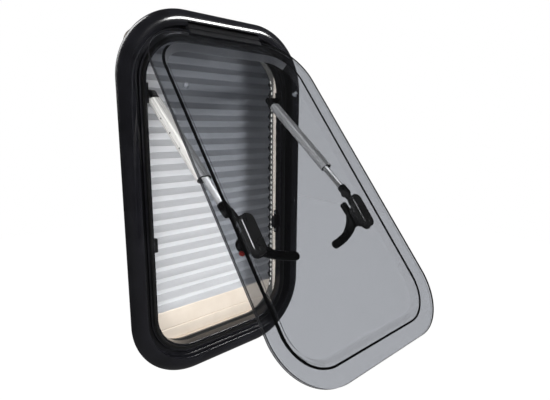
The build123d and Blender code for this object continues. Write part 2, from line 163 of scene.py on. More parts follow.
# %% Profile helpers
def soften(*corners, closed=False, steps=4):
    """Profile through corners (x, y, radius), each rounded as far as its neighbours leave room."""
    points = []
    for index, (x, y, radius) in enumerate(corners):
        here = Vector((x, y))
        if not radius or (not closed and index in (0, len(corners) - 1)):
            points.append((x, y))
            continue
        back = Vector(corners[index - 1][:2]) - here
        ahead = Vector(corners[(index + 1) % len(corners)][:2]) - here
        reach = min(radius / math.tan(back.angle(ahead) / 2), 0.45 * min(back.length, ahead.length))
        start = here + back.normalized() * reach
        end = here + ahead.normalized() * reach
        for step in range(steps + 1):
            share = step / steps
            points.append(tuple(start.lerp(here, share).lerp(here.lerp(end, share), share)))
    return points


def plate(thickness, rounding, start=0.0):
    """Profile of a flat plate from one height up by its thickness, with rounded edges."""
    flat = 2.5 * rounding
    top = start + thickness
    return soften((flat, start, 0), (0, start, rounding), (0, top, rounding), (flat, top, 0))


print("a plate's edge takes", len(plate(3 * MM, 0.5 * MM)), "rings")

# %% [markdown]
# The rings are then joined into quads. A closed profile makes a tube-like ring, and an open one ends in two
# flat faces. Smooth shading is cut at sharp edges, so a flat face stays flat beside its rounded edge.

# %% Mesh helpers
def new_piece(name, mesh):
    """Object of a mesh, linked into the scene and shaded smooth with crisp edges."""
    piece = bpy.data.objects.new(name, mesh)
    scene.collection.objects.link(piece)
    mesh.shade_smooth()
    mesh.set_sharp_from_angle(angle=CRISP_ANGLE)
    return piece


def moulding(name, outline, profile, place, closed=False):
    """Carry a profile of (inset, height) points round an outline."""
    shape = bmesh.new()
    rings = []
    for inset, height in profile:
        rings.append([shape.verts.new(place @ Vector((x, y, height))) for x, y in outline(inset)])
    following = rings[1:] + rings[:1] if closed else rings[1:]
    for low, high in zip(rings, following):
        for index in range(len(low)):
            after = (index + 1) % len(low)
            shape.faces.new((low[index], low[after], high[after], high[index]))
    if not closed:
        shape.faces.new(rings[0])
        shape.faces.new(rings[-1])
    bmesh.ops.recalc_face_normals(shape, faces=shape.faces)
    mesh = bpy.data.meshes.new(name)
    shape.to_mesh(mesh)
    shape.free()
    return new_piece(name, mesh)


print("edges above", round(math.degrees(CRISP_ANGLE)), "degrees stay crisp")

# %% [markdown]
# Holes and bosses come from booleans, and a casting is run together by a voxel remesh. Both are modifiers,
# and they are applied at once, so that later cells can pick single faces of the final mesh. A finished
# piece then gets its finish, its body and the solids that it stands for.

# %% Joining and fitting helpers
def settle(piece):
    """Apply the piece's modifiers, so that its mesh is its final shape."""
    scene_state = bpy.context.evaluated_depsgraph_get()
    mesh = bpy.data.meshes.new_from_object(piece.evaluated_get(scene_state))
    piece.modifiers.clear()
    piece.data = mesh
    mesh.shade_smooth()
    mesh.set_sharp_from_angle(angle=CRISP_ANGLE)


def combine(piece, tools, operation):
    """Cut the tools out of a piece, or join them to it, and remove them."""
    for tool in tools:
        step = piece.modifiers.new(operation.lower(), "BOOLEAN")
        step.operation = operation
        step.solver = "EXACT"
        step.object = tool
    settle(piece)
    for tool in tools:
        bpy.data.objects.remove(tool)


def melt(piece, parts, voxel, passes):
    """Run parts together as one moulded lump with soft inner corners."""
    combined = bmesh.new()
    for part in (piece, *parts):
        combined.from_mesh(part.data)
    combined.to_mesh(piece.data)
    combined.free()
    for part in parts:
        bpy.data.objects.remove(part)
    lump = piece.modifiers.new("lump", "REMESH")
    lump.mode = "VOXEL"
    lump.voxel_size = voxel
    ease = piece.modifiers.new("ease", "SMOOTH")
    ease.iterations = passes
    settle(piece)


def fit(piece, material, slot, *nodes, body="window"):
    """Give a piece its finish and its body, and let it stand for the nodes it remakes."""
    piece.data.materials.clear()
    piece.data.materials.append(material)
    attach(piece, body)
    if nodes:
        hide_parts(*nodes)


print("joining and fitting helpers ready")

# %% [markdown]
# ## Finishes
# Each finish is one shader whose colour, gloss and relief wander a little, because flat values look like
# paint. Noise does that without unwrapping or seams. Values that are the same all over stay on the shader's
# own sockets.

# %% Shader helpers
def node(tree, kind, inputs=None, **settings):
    """New shader node. An input that is a socket gets linked, and a plain value is set."""
    made = tree.nodes.new(f"ShaderNode{kind}")
    for name, value in settings.items():
        setattr(made, name, value)
    for key, value in (inputs or {}).items():
        if isinstance(value, bpy.types.NodeSocket):
            tree.links.new(value, made.inputs[key])
        else:
            made.inputs[key].default_value = value
    return made


def new_finish(name, values):
    """Material, its node tree and its Principled shader, with plain values on the shader's own sockets."""
    material = bpy.data.materials.new(name)
    material.use_nodes = True
    shader = material.node_tree.nodes["Principled BSDF"]
    for key, value in values.items():
        shader.inputs[key].default_value = value
    return material, material.node_tree, shader


def noise(tree, scale, detail=3.0, stretch=(1, 1, 1)):
    """A noise texture in the room's metres."""
    place = node(tree, "TexCoord").outputs["Object"]
    mapping = node(tree, "Mapping", {"Vector": place, "Scale": stretch})
    grain = {"Vector": mapping.outputs["Vector"], "Scale": scale, "Detail": detail}
    return node(tree, "TexNoise", grain).outputs["Fac"]


def blend_colours(tree, factor, dark, light, shader):
    """Colour that wanders between two tones."""
    ramp = node(tree, "ValToRGB", {"Fac": factor})
    for element, position, tone in zip(ramp.color_ramp.elements, (0.3, 0.7), (dark, light)):
        element.position = position
        element.color = (*tone, 1)
    tree.links.new(ramp.outputs["Color"], shader.inputs["Base Color"])


def vary_gloss(tree, factor, low, high, shader):
    """Roughness that wanders between two limits."""
    limits = {"Value": factor, "From Min": 0.3, "From Max": 0.7, "To Min": low, "To Max": high}
    tree.links.new(node(tree, "MapRange", limits).outputs["Result"], shader.inputs["Roughness"])


def bump(tree, factor, depth, shader):
    """Fine relief of a depth in metres."""
    relief = node(tree, "Bump", {"Height": factor, "Distance": depth})
    tree.links.new(relief.outputs["Normal"], shader.inputs["Normal"])


print("shader helpers ready")

# %% [markdown]
# Frame, latches and cassettes are moulded plastic with a satin gloss. A slow noise gives the slight
# cloudiness and a fine one the grain that a mould leaves. Rubber differs only in its values, so one
# function serves all of them.

# %% Plastics and rubber
def moulded(name, dark, light, roughness, grain_depth, specular=0.5):
    """Moulded plastic: a cloudy tone, a wandering gloss and a fine grain."""
    material, tree, shader = new_finish(name, {"Specular IOR Level": specular})
    cloud = noise(tree, 35)
    blend_colours(tree, cloud, dark, light, shader)
    vary_gloss(tree, cloud, *roughness, shader)
    bump(tree, noise(tree, 1400, 2.0), grain_depth, shader)
    return material


def grey(level):
    """Neutral tone."""
    return (level, level, level)


hinge_tones = ((0.050, 0.051, 0.055), (0.075, 0.076, 0.082))
rail_tones = ((0.024, 0.024, 0.026), (0.034, 0.034, 0.036))
ferrule_tones = ((0.020, 0.020, 0.021), (0.030, 0.030, 0.031))
frame_black = moulded("frame_black", (0.004, 0.004, 0.005), (0.007, 0.007, 0.009), (0.13, 0.18), 0.002 * MM)
latch_black = moulded("latch_black", grey(0.011), grey(0.017), (0.24, 0.32), 0.004 * MM, 0.4)
rail_black = moulded("rail_black", *rail_tones, (0.40, 0.50), 0.004 * MM, 0.2)
hinge_black = moulded("hinge_black", *hinge_tones, (0.50, 0.60), 0.01 * MM, 0.25)
seal_rubber = moulded("seal_rubber", grey(0.006), grey(0.010), (0.50, 0.62), 0.03 * MM)
button_red = moulded("button_red", (0.66, 0.050, 0.040), (0.76, 0.070, 0.055), (0.32, 0.40), 0.01 * MM)
plug_grey = moulded("plug_grey", (0.62, 0.64, 0.67), (0.74, 0.76, 0.79), (0.18, 0.26), 0.01 * MM)
case_cream = moulded("case_cream", (0.76, 0.67, 0.57), (0.82, 0.73, 0.63), (0.38, 0.46), 0.012 * MM)
ferrule_grey = moulded("ferrule_grey", *ferrule_tones, (0.34, 0.42), 0.006 * MM)
print("plastics:", frame_black.name, latch_black.name, hinge_black.name, case_cream.name)

# %% [markdown]
# The stays are drawn aluminium tube. Drawing leaves hair lines along the tube, so the noise is squeezed
# across the stay and stretched along it. The noise reads a stay's own slope, because the stays lean out of
# the room's axes.

# %% Metals
def brushed(name, dark, light, roughness, hair_depth, lean=0.0, metallic=1.0):
    """Metal with hair lines along a direction that leans in the Y-Z plane."""
    material, tree, shader = new_finish(name, {"Metallic": metallic})
    place = node(tree, "TexCoord").outputs["Object"]
    turn = node(tree, "Mapping", {"Vector": place, "Rotation": (lean, 0, 0)})
    squeeze = node(tree, "Mapping", {"Vector": turn.outputs["Vector"], "Scale": (1, 0.02, 1)})
    lines = {"Vector": squeeze.outputs["Vector"], "Scale": 420, "Detail": 5.0, "Roughness": 0.65}
    hair = node(tree, "TexNoise", lines).outputs["Fac"]
    blend_colours(tree, hair, dark, light, shader)
    vary_gloss(tree, hair, *roughness, shader)
    bump(tree, hair, hair_depth, shader)
    return material


tube_low, tube_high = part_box("left_stay_tube")
stay_lean = math.atan2(tube_high.z - tube_low.z, tube_high.y - tube_low.y)
anodised = ((0.76, 0.75, 0.73), (0.86, 0.85, 0.82))
stay_aluminium = brushed("stay_aluminium", *anodised, (0.24, 0.32), 0.002 * MM, -stay_lean, 0.25)
rod_aluminium = brushed("rod_aluminium", *anodised, (0.18, 0.24), 0.001 * MM, -stay_lean, 0.35)
screw_steel = brushed("screw_steel", (0.60, 0.60, 0.61), (0.74, 0.74, 0.75), (0.22, 0.32), 0.002 * MM)
print("stays lean", round(math.degrees(stay_lean), 1), "degrees")

# %% [markdown]
# Smoked acrylic lets light through with a grey tint and mirrors a little more at low angles. Real
# refraction would bend the view through four parallel faces and end where it started, at the price of
# noise, so each face is a tinted Transparent shader mixed with a Glossy one. The mix rises with the facing
# angle, as it does on any glass.

# %% Smoked acrylic
def clear_sheet(name, tint, waviness, haze=0.0):
    """Acrylic face that tints what is behind it, mirrors the studio and may scatter a little light."""
    material = bpy.data.materials.new(name)
    material.use_nodes = True
    tree = material.node_tree
    tree.nodes.clear()
    through = node(tree, "BsdfTransparent", {"Color": (*tint, 1)})
    mirror = node(tree, "BsdfGlossy", {"Roughness": 0.03})
    bump(tree, noise(tree, 18, 1.0), waviness, mirror)
    facing = node(tree, "LayerWeight").outputs["Facing"]
    power = node(tree, "Math", {0: facing, 1: 5.0}, operation="POWER")
    share = node(tree, "Math", {0: power.outputs[0], 1: 0.6, 2: 0.03}, operation="MULTIPLY_ADD")
    gloss = node(tree, "MixShader", {"Fac": share.outputs[0], 1: through.outputs[0], 2: mirror.outputs[0]})
    scatter = node(tree, "BsdfTranslucent", {"Color": (0.9, 0.91, 0.93, 1)})
    cloudy = node(tree, "MixShader", {"Fac": haze, 1: gloss.outputs[0], 2: scatter.outputs[0]})
    node(tree, "OutputMaterial", {"Surface": cloudy.outputs[0]})
    return material


smoked_acrylic = clear_sheet("smoked_acrylic", (0.795, 0.802, 0.816), 0.05 * MM)
drawn_acrylic = clear_sheet("drawn_acrylic", (0.80, 0.805, 0.82), 0.05 * MM, 0.06)
haze_and_painted_reflection = clear_sheet("haze_and_painted_reflection", (0.80, 0.805, 0.82), 0.05 * MM, 0.9)
clear_edge = clear_sheet("clear_edge", (0.62, 0.625, 0.64), 0.02 * MM, 0.04)
edge_tones = ((0.010, 0.010, 0.012), (0.016, 0.016, 0.019))
painted_left_edge_tones = ((0.026, 0.026, 0.030), (0.040, 0.040, 0.045))
acrylic_edge = moulded("acrylic_edge", *edge_tones, (0.25, 0.32), 0.002 * MM, 0.3)
left_edge_painted_tone = moulded("left_edge_painted_tone", *painted_left_edge_tones, (0.3, 0.4), 0.002 * MM, 0.3)
dark_line_black = moulded("dark_line_black", (0.002, 0.002, 0.003), (0.004, 0.004, 0.005), (0.35, 0.45), 0.004 * MM)
print("acrylic:", smoked_acrylic.name, acrylic_edge.name)

# %% [markdown]
# The blind is a polyester cloth with a silvery back. It has a fine plain weave: two wave textures at right
# angles give the threads, and a slow noise gives the uneven tone that pleated cloth shows from fold to
# fold. The lip beside the cloth is painted with a row of light spots, made by one slow wave, for the light
# that shows between the folds' ends, with painted shade between them. The clamp ring's inner border is
# painted darker as shade.

# %% Cloth, painted light spots and painted ring shade
WAVE_LENGTH = 0.314


def stripes(tree, direction, pitch, distortion=0.0):
    """Waves along one of the room's axes. At a scale of 1 they repeat every WAVE_LENGTH metres."""
    place = node(tree, "TexCoord").outputs["Object"]
    waves = {"Vector": place, "Scale": WAVE_LENGTH / pitch, "Distortion": distortion}
    return node(tree, "TexWave", waves, bands_direction=direction).outputs["Fac"]


def woven(name, dark, light, thread):
    """Fine plain weave with a soft sheen."""
    material, tree, shader = new_finish(name, {"Sheen Weight": 0.15, "Specular IOR Level": 0.3})
    warp, weft = (stripes(tree, direction, thread, 0.6) for direction in ("X", "Z"))
    weave = node(tree, "Math", {0: warp, 1: weft}, operation="MULTIPLY").outputs[0]
    cloud = noise(tree, 22, 3.0, (0.4, 1, 2))
    blend_colours(tree, cloud, dark, light, shader)
    vary_gloss(tree, weave, 0.55, 0.7, shader)
    bump(tree, weave, 0.03 * MM, shader)
    return material


def paint_light_spots(name, dark, light, pitch):
    """Lip painted with a row of light spots, one at the end of each fold, with painted shade between them."""
    material, tree, shader = new_finish(name, {"Roughness": 0.45})
    blend_colours(tree, stripes(tree, "Z", pitch), dark, light, shader)
    return material


def paint_inner_shade(name, dark, light, limit, step):
    """Cream moulding whose inner border, within a distance from the middle, is painted darker as shade."""
    material, tree, shader = new_finish(name, {"Roughness": 0.42})
    place = node(tree, "SeparateXYZ", {"Vector": node(tree, "TexCoord").outputs["Object"]})
    reach = node(tree, "Math", {0: place.outputs["X"]}, operation="ABSOLUTE")
    border = {"Value": reach.outputs[0], "From Min": limit - step, "From Max": limit + step}
    share = node(tree, "MapRange", border).outputs["Result"]
    blend_colours(tree, share, dark, light, shader)
    return material


blind_silver = woven("blind_silver", (0.62, 0.63, 0.65), (0.70, 0.71, 0.73), 0.5 * MM)
spot_pitch = 9.86 * MM
painted_light_spots = paint_light_spots("painted_light_spots", (0.05, 0.05, 0.045), (0.88, 0.86, 0.80), spot_pitch)
lip_limit = 134.6 * MM
ring_cream_painted_shade = paint_inner_shade("ring_cream_painted_shade", (0.10, 0.097, 0.09), (0.80, 0.71, 0.61), lip_limit, 0.6 * MM)
print("cloth:", blind_silver.name)

# %% [markdown]
# ## The moulded frame
# One section runs round the whole window: a crowned flange on the wall, a groove, the lip that the seal
# sits on, the reveal and the spigot that goes through the wall. A curve with a bevel profile could sweep
# it, but the rings keep the corner radii true to each inset. The seat of the hinge is cut out of the top
# rail afterwards.

# %% Frame moulding
frame_corner = 105 * MM
flange_width = 23.5 * MM
flange_edge = 2.5 * MM
flange_proud = 9.6 * MM
crown_bulge = 3.96 * MM
groove_floor = -2 * MM
lip_start = 31.5 * MM
lip_proud = 1 * MM
opening_inset = 43 * MM
reveal_back = -14 * MM
reveal_wall = 2.5 * MM
web_back = -5 * MM
spigot_start = 22 * MM
spigot_end = 25 * MM
wall_back = -30 * MM
fine = 0.5 * MM

crown = arc((0, flange_edge), (flange_width, flange_proud), crown_bulge)
frame_section = soften(
    (spigot_start, 0, 0.3 * MM),
    (0, 0, fine),
    *[(inset, height, 0) for inset, height in crown[:-1]],
    (flange_width, flange_proud, 1.4 * MM),
    (flange_width, groove_floor, 0.8 * MM),
    (lip_start, groove_floor, 0.8 * MM),
    (lip_start, lip_proud, 1.0 * MM),
    (opening_inset, lip_proud, 1.2 * MM),
    (opening_inset, reveal_back, fine),
    (opening_inset - reveal_wall, reveal_back, fine),
    (opening_inset - reveal_wall, web_back, fine),
    (spigot_end, web_back, fine),
    (spigot_end, wall_back, fine),
    (spigot_start, wall_back, fine),
    closed=True,
)
window_outline = rounded_rectangle(frame_width, frame_height, frame_corner, 32)
frame_moulding = moulding("frame_moulding", window_outline, frame_section, wall, closed=True)

seat_margin = 0.3 * MM
seat_below_axis = 15.6 * MM
seat_slot = 2.6 * MM
seat_top = rail_high.z + seat_slot - frame_middle
seat_bottom = hinge_axis.z - seat_below_axis - frame_middle
seat_width = rail_high.x - rail_low.x + 2 * seat_margin
seat_outline = rounded_rectangle(seat_width, seat_top - seat_bottom, 0.2 * MM, 2)
seat_place = wall @ Matrix.Translation((0, (seat_top + seat_bottom) / 2, 0))
seat_tool = moulding("seat_tool", seat_outline, [(0, -rail_high.y), (0, 30 * MM)], seat_place)
combine(frame_moulding, [seat_tool], "DIFFERENCE")
fit(frame_moulding, frame_black, "frame_black", "outer_frame")
print("frame moulding:", len(frame_moulding.data.polygons), "faces")

# %% [markdown]
# The seal is a hollow rubber bead pressed onto the lip. Only its round back shows, so it is a half-round
# profile that follows the same outline.

# %% Weather seal
seal_middle = 37.25 * MM
seal_half = 2.5 * MM
seal_height = 3.4 * MM
seal_section = soften(
    (seal_middle - seal_half, lip_proud, 0.2 * MM),
    (seal_middle - 0.8 * seal_half, lip_proud + seal_height, 1.6 * MM),
    (seal_middle + 0.8 * seal_half, lip_proud + seal_height, 1.6 * MM),
    (seal_middle + seal_half, lip_proud, 0.2 * MM),
    closed=True,
    steps=6,
)
weather_seal = moulding("weather_seal", window_outline, seal_section, wall, closed=True)
fit(weather_seal, seal_rubber, "seal_rubber", "frame_seal")
print("seal:", len(weather_seal.data.polygons), "faces")

# %% [markdown]
# ## The double pane
# A flat outer sheet is bonded to an inner one, with an air space between them. The outer sheet is a plate
# with eased edges. A cut edge of smoked acrylic looks almost black, because one looks along the sheet, so
# the faces of the edge get finishes of their own. Along the left the edge gets a painted mid tone instead: on
# the outer sheet it is a painted highlight, lighter than its dark edge elsewhere, for the light that its
# front rounding catches, and on the inner sheet a painted dark line, darker than its clear edge elsewhere.

# %% Outer sheet
pane_low, pane_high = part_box("outer_pane")
pane_width = pane_high.x - pane_low.x
pane_top = 8.2 * MM
pane_length = 502 * MM
pane_corner = 72 * MM
outer_thickness = 3 * MM
edge_band = 2 * MM


def sash_spot(across, along, height=0.0):
    """Plane on the sash, moved to a point of it."""
    return sash @ Matrix.Translation((across, along, height))


pane_outline = rounded_rectangle(pane_width, pane_length, pane_corner, 28)
pane_place = sash_spot(0, pane_top + pane_length / 2)


def finish_edge(piece, reach, left_finish, other_finish):
    """Give the cut edge round a sheet one finish along the left and another one round the rest."""
    piece.data.materials.append(left_finish)
    piece.data.materials.append(other_finish)
    onto_pane = pane_place.inverted()
    for face in piece.data.polygons:
        spot = onto_pane @ face.center
        lies_flat = abs(face.normal.dot(inward)) > 0.5
        past_x = abs(spot.x) - pane_width / 2 + pane_corner
        past_y = abs(spot.y) - pane_length / 2 + pane_corner
        round_corner = math.hypot(past_x, past_y) if min(past_x, past_y) > 0 else 0
        inset = pane_corner - max(past_x, past_y, round_corner)
        if inset < reach and not lies_flat:
            # Left edge faces get the painted mid tone: a painted highlight on the outer sheet, a painted dark
            # line on the inner one.
            face.material_index = 1 if face.normal.x < -0.3 else 2


outer_sheet = moulding("outer_sheet", pane_outline, plate(outer_thickness, 0.5 * MM), pane_place)
fit(outer_sheet, smoked_acrylic, "smoked_acrylic", "outer_pane")
finish_edge(outer_sheet, edge_band, left_edge_painted_tone, acrylic_edge)
print("pane:", [round(side, 3) for side in (pane_width, pane_length)])

# %% [markdown]
# The inner sheet is heated and drawn by a vacuum into a shallow pan. Its section has a rim, a sloping wall
# and a floor, all one thickness. A solidify modifier could thicken a bent sheet, but here one profile gives
# both faces and the edge. Drawing leaves a haze where the wall was stretched, so the walls are finished
# face by face. The backs of the left wall and of the top wall get a strong haze that is partly painted
# light: it stands in for the bright lines that these walls mirror, so it lies on those sides only.

# %% Inner sheet
rim_back = 5.5 * MM
pan_inset = 22 * MM
pan_run = 5.66 * MM
pan_floor = 15.3 * MM
sheet = 2.5 * MM
floor_lap = 6 * MM
bond_gap = 0.06 * MM
pan_section = soften(
    (pan_inset + sheet + pan_run + floor_lap, pan_floor - sheet, 0),
    (pan_inset + sheet + pan_run, pan_floor - sheet, 1.5 * MM),
    (pan_inset + sheet, outer_thickness + bond_gap, 1.2 * MM),
    (0, outer_thickness + bond_gap, 0.4 * MM),
    (0, rim_back, 0.5 * MM),
    (pan_inset, rim_back, 1.5 * MM),
    (pan_inset + pan_run, pan_floor, 2.5 * MM),
    (pan_inset + pan_run + floor_lap, pan_floor, 0),
)
inner_sheet = moulding("inner_sheet", pane_outline, pan_section, pane_place)
fit(inner_sheet, smoked_acrylic, "smoked_acrylic", "inner_pane")
finish_edge(inner_sheet, edge_band, left_edge_painted_tone, clear_edge)
inner_sheet.data.materials.append(drawn_acrylic)
inner_sheet.data.materials.append(haze_and_painted_reflection)
for face in inner_sheet.data.polygons:
    along = (face.center - hinge_axis).dot(downward)
    slopes = abs(face.normal.dot(inward)) < 0.95
    crosses = abs(face.normal.dot(downward)) > abs(face.normal.x)
    at_left = face.center.x < 0 and not crosses
    behind = face.normal.dot(inward) > 0
    if face.material_index == 0 and slopes:
        # Strong haze on the backs of the left and top walls: real haze together with a painted reflection of
        # bright lines.
        face.material_index = 4 if behind and (at_left or (crosses and along < pane_length / 2)) else 3
    elif face.material_index == 0 and along < pane_top + pan_inset:
        face.material_index = 3

print("inner sheet:", len(inner_sheet.data.polygons), "faces")

# %% [markdown]
# A black bead on the back of the rim, at the root of the pan, is a painted dark line: it stands in for the
# dark line that the pan's wall shows by refraction. It runs down both sides and along the bottom, and it ends
# under the hinge, so it is made as a whole ring whose top is cut off.

# %% Bond bead
dark_line_middle = 20.75 * MM
dark_line_half = 2.25 * MM
dark_line_low = rim_back + 0.02 * MM
dark_line_high = rim_back + 0.5 * MM
dark_line_top = 40 * MM
dark_line_section = soften(
    (dark_line_middle - dark_line_half, dark_line_low, 0.2 * MM),
    (dark_line_middle - dark_line_half, dark_line_high, 0.2 * MM),
    (dark_line_middle + dark_line_half, dark_line_high, 0.2 * MM),
    (dark_line_middle + dark_line_half, dark_line_low, 0.2 * MM),
    closed=True,
)
dark_line_reach = rounded_rectangle(pane_width, pane_length + 4 * MM, pane_corner, 28)


def dark_line_outline(inset):
    """The bead is narrower along the bottom than along the sides."""
    return pane_outline(inset) if inset < dark_line_middle else dark_line_reach(inset)


dark_line_bead = moulding("dark_line_bead", dark_line_outline, dark_line_section, pane_place, closed=True)
top_outline = rounded_rectangle(pane_width, dark_line_top, 0.2 * MM, 2)
top_place = sash_spot(0, dark_line_top / 2)
top_tool = moulding("top_tool", top_outline, [(0, 0), (0, 20 * MM)], top_place)
combine(dark_line_bead, [top_tool], "DIFFERENCE")
fit(dark_line_bead, dark_line_black, "smoked_acrylic")
print("bead:", len(dark_line_bead.data.polygons), "faces")

# %% [markdown]
# Two plugs close holes in the inner sheet, most likely the vents of the air space. A plug is turned: a low
# dome over a short stem. One profile round a circle gives it in one step.

# %% Air plugs
plug_side = 100.5 * MM
plug_along = 103 * MM
plug_radius = 4.5 * MM
plug_height = 2 * MM
stem_inset = 2 * MM
stem_length = 5 * MM
plug_section = soften(
    (plug_radius - 0.6 * MM, plug_height, 0),
    (1.2 * MM, plug_height, 1.2 * MM),
    (0, 0.6 * MM, 0.6 * MM),
    (0, 0, 0.2 * MM),
    (stem_inset, 0, 0.1 * MM),
    (stem_inset, -stem_length, 0.6 * MM),
    (plug_radius - 0.8 * MM, -stem_length, 0),
)
for name, side in SIDES.items():
    spot = sash_spot(side * plug_side, plug_along, pan_floor)
    air_plug = moulding(f"{name}_air_plug", strip([(0, 0)], plug_radius), plug_section, spot)
    fit(air_plug, plug_grey, "plug_grey", f"{name}_vent_plug")
print("plugs at", round(plug_side, 4), round(plug_along, 4))

# %% [markdown]
# ## Latches
# A latch housing sits in a slot of the inner sheet. Its foot shows through the outer sheet as a dark slot
# with a raised border, and its body, ear and pins stand on the inside. The steps of foot, collar and body
# are one profile round a slot. The ear and pins are joined to it by a union, so the housing is one closed
# mesh.

# %% Latch housings
latch_side = 101.5 * MM
latch_along = 329 * MM
foot_half_width = 9.5 * MM
foot_ends = (-19 * MM, 15.5 * MM)
foot_face = 6.3 * MM
foot_dish = 0.3 * MM
collar_rim = 1.2 * MM
collar_top = 17.8 * MM
body_half_width = 8.5 * MM
body_ends = (-6.5 * MM, 9.5 * MM)
body_top = 25.8 * MM
stay_side = 111 * MM
stay_foot_along = 289 * MM
stay_foot_height = 27 * MM
eye_half = 3 * MM
play = 0.3 * MM
ear_reach = 3.5 * MM
ear_root = (307 * MM, 20.2 * MM)
ear_half = 4.7 * MM
pin_radius = 2.5 * MM
pin_head_radius = 4 * MM
pin_head = 1.5 * MM
pin_eye_radius = 6 * MM
pivot_radius = 4 * MM
pivot_height = 10 * MM
boss_radius = 3 * MM
boss_height = 3 * MM

housing_section = soften(
    (6 * MM, foot_face + foot_dish, 0),
    (1.2 * MM, foot_face, 0.9 * MM),
    (0, foot_face + 1.4 * MM, 0.9 * MM),
    (0, pan_floor, 0.1 * MM),
    (-collar_rim, pan_floor, 0.2 * MM),
    (-collar_rim, collar_top, 0.9 * MM),
    (5 * MM, collar_top, 0),
)
foot_outline = strip([(0, end) for end in foot_ends], foot_half_width, 16)
body_outline = strip([(0, end) for end in body_ends], body_half_width, 16)
body_section = plate(body_top - pan_floor, 1.2 * MM, pan_floor)
pivot_section = plate(pivot_height, 0.5 * MM, body_top - 1 * MM)
boss_section = plate(boss_height, 0.8 * MM, foot_face - 0.5 * MM)
eye_spot = (stay_foot_along, stay_foot_height)
ear_tip = (stay_foot_along, stay_foot_height - 1.5 * MM)
pin_length = 2 * (eye_half + play)
pin_section = soften(
    (pin_radius + 1 * MM, 1 * MM, 0),
    (pin_head_radius - pin_radius, 1 * MM, 0.1 * MM),
    (pin_head_radius - pin_radius, -pin_length, 0.1 * MM),
    (0, -pin_length, 0.3 * MM),
    (0, -pin_length - pin_head, 0.5 * MM),
    (pin_radius, -pin_length - pin_head, 0),
)
for name, side in SIDES.items():
    spot = sash_spot(side * latch_side, latch_along)
    housing = moulding(f"{name}_latch_housing", foot_outline, housing_section, spot)
    body = moulding("body", body_outline, body_section, spot)
    flank_spot = sash @ Vector((side * (stay_side - eye_half - play), 0, 0))
    flank = plane(flank_spot, downward, inward, (-side, 0, 0))
    ear = moulding("ear", strip([ear_tip, ear_root], ear_half), plate(ear_reach, 0.8 * MM), flank)
    eye = moulding("eye", strip([eye_spot], pin_eye_radius), plate(ear_reach, 0.8 * MM), flank)
    pin = moulding("pin", strip([eye_spot], pin_head_radius), pin_section, flank)
    pivot_spot = sash_spot(side * latch_side, latch_along + 2 * MM)
    pivot = moulding("pivot", strip([(0, 0)], pivot_radius), pivot_section, pivot_spot)
    boss_spot = sash_spot(side * latch_side, latch_along + foot_ends[1] + boss_radius)
    boss = moulding("boss", strip([(0, 0)], boss_radius), boss_section, boss_spot)
    combine(housing, [body, ear, eye, pin, pivot, boss], "UNION")
    fit(housing, latch_black, "latch_black", f"{name}_latch_base")
print("housing:", len(housing.data.polygons), "faces")

# %% [markdown]
# The lever is a hand-sized casting: a round hub, a short tongue that turns behind the keeper, and a bowed
# handle with a thin web in its throat. Its parts flow into each other. Modelling those fillets by hand is
# slow, so the parts are run together by a voxel remesh and eased by a smoothing pass.

# %% Turn levers
lever_along = 331 * MM
lever_level = 27.3 * MM
lever_thickness = 8 * MM
hub_radius = 12 * MM
hub_height = 8.6 * MM
tongue_root = (2.5 * MM, 0)
tongue_end = (5.2 * MM, -24.5 * MM)
tongue_half = 4.6 * MM
handle_end = (62.5 * MM, 29.5 * MM)
handle_half = 6 * MM
handle_thickness = 6 * MM
handle_bow = 4.7 * MM
handle_middle = (29.24 * MM, 19 * MM)
throat_start = (6 * MM, -15 * MM)
throat_end = (31.9 * MM, 13.35 * MM)
throat_hollow = 2.77 * MM
web_height = 6.5 * MM
button_turn = math.radians(45)
button_radius = 3.5 * MM
button_level = 5.2 * MM
button_proud = 2.5 * MM
button_recess = 4 * MM
web_corners = [*arc(throat_start, throat_end, throat_hollow), handle_middle, (0, 0), (0, throat_start[1])]
handle_outline = strip(arc((0, 0), handle_end, handle_bow), handle_half)
tongue_outline = strip([tongue_root, tongue_end], tongue_half)
hub_outline = strip([(0, 0)], hub_radius, 24)
button_outline = strip([(0, 0)], button_radius, 16)
button_section = plate(button_recess + button_proud, 1 * MM)
for name, side in SIDES.items():
    pivot_spot = sash @ Vector((side * latch_side, lever_along, lever_level))
    lever_plane = plane(pivot_spot, (-side, 0, 0), downward, inward)
    hub = moulding(f"{name}_turn_lever", hub_outline, plate(hub_height, 1.8 * MM), lever_plane)
    handle = moulding("handle", handle_outline, plate(handle_thickness, 1.8 * MM), lever_plane)
    tongue = moulding("tongue", tongue_outline, plate(lever_thickness, 1.6 * MM), lever_plane)
    web = moulding("web", lambda inset: web_corners, [(0, 0), (0, web_height)], lever_plane)
    melt(hub, [handle, tongue, web], 0.6 * MM, 4)
    fit(hub, latch_black, "latch_black", f"{name}_lever", body=f"{name}_latch_lever")
    outward = Vector((side, 0, 0)) * math.cos(button_turn) + downward * math.sin(button_turn)
    seat = pivot_spot + inward * button_level + outward * (hub_radius - button_recess)
    press_place = plane(seat, inward, outward.cross(inward))
    press = moulding(f"{name}_press_button", button_outline, button_section, press_place)
    fit(press, button_red, "button_red", f"{name}_lever_button", body=f"{name}_latch_lever")
print("lever:", len(hub.data.polygons), "faces")

# %% [markdown]
# A keeper is a small moulded block on a plate, screwed to the reveal. The lever's tongue turns behind it.
# Two plates of the same helper are joined, and two domed screws hold them.

